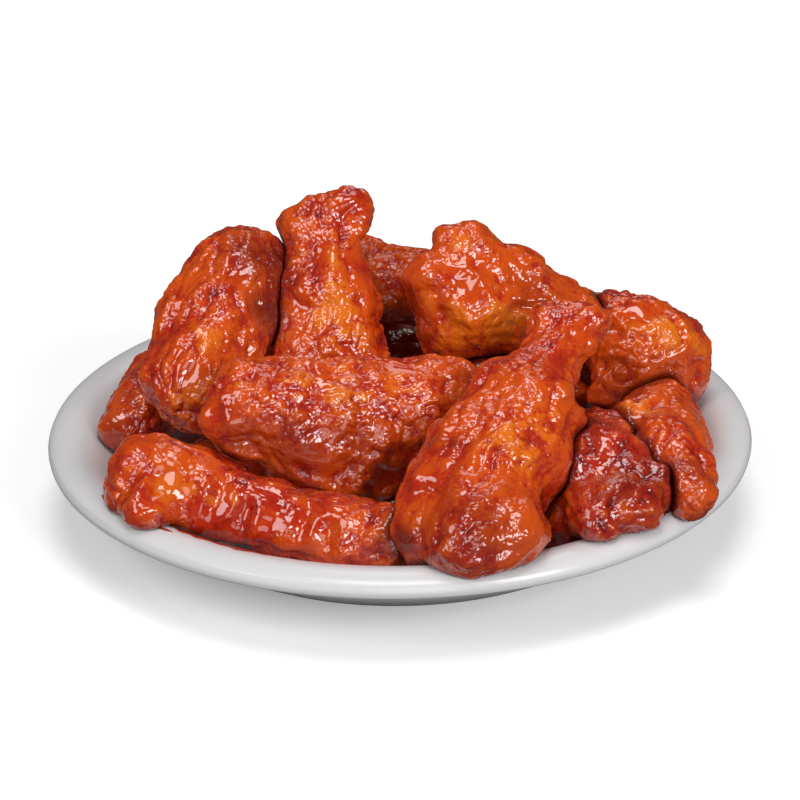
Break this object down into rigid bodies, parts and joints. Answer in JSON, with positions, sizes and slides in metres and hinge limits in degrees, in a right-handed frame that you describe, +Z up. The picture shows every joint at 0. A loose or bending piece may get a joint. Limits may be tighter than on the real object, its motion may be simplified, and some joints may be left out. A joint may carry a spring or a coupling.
{
  "type": "chicken wings serving on a plate",
  "caption": "Heap of sauce-coated chicken wings, drumettes and flats, served on a round rimmed white plate.",
  "frame": {"origin": "centre of the plate at the level of its foot ring", "axes": "+Z up; the serving's front, which shows the most wings, faces -Y; +X is to its right as seen from the front"},
  "size_m": [0.23, 0.23, 0.0962],
  "materials": {
    "plate_glaze": "smooth white glaze, softly glossy",
    "sauced_skin": "pebbled chicken skin under a sticky, glossy red-orange sauce",
    "sauce": "thin wet red-orange sauce, glossy"
  },
  "bodies": {
    "root": {"plate": "plate_glaze", "drumette_upright": "sauced_skin", "flat_front_broad": "sauced_skin", "flat_leaning_left": "sauced_skin", "flat_left_rim": "sauced_skin", "flat_front_rim": "sauced_skin", "drumette_front": "sauced_skin", "drumette_upper_right": "sauced_skin", "flat_back_top": "sauced_skin", "drumette_right": "sauced_skin", "drumette_front_right": "sauced_skin", "flat_right_rim": "sauced_skin", "drumette_middle": "sauced_skin", "drumette_back_left": "sauced_skin", "drumette_back_right": "sauced_skin", "drumette_back": "sauced_skin", "flat_beneath": "sauced_skin", "flat_back_left": "sauced_skin"}
  },
  "joints": []
}
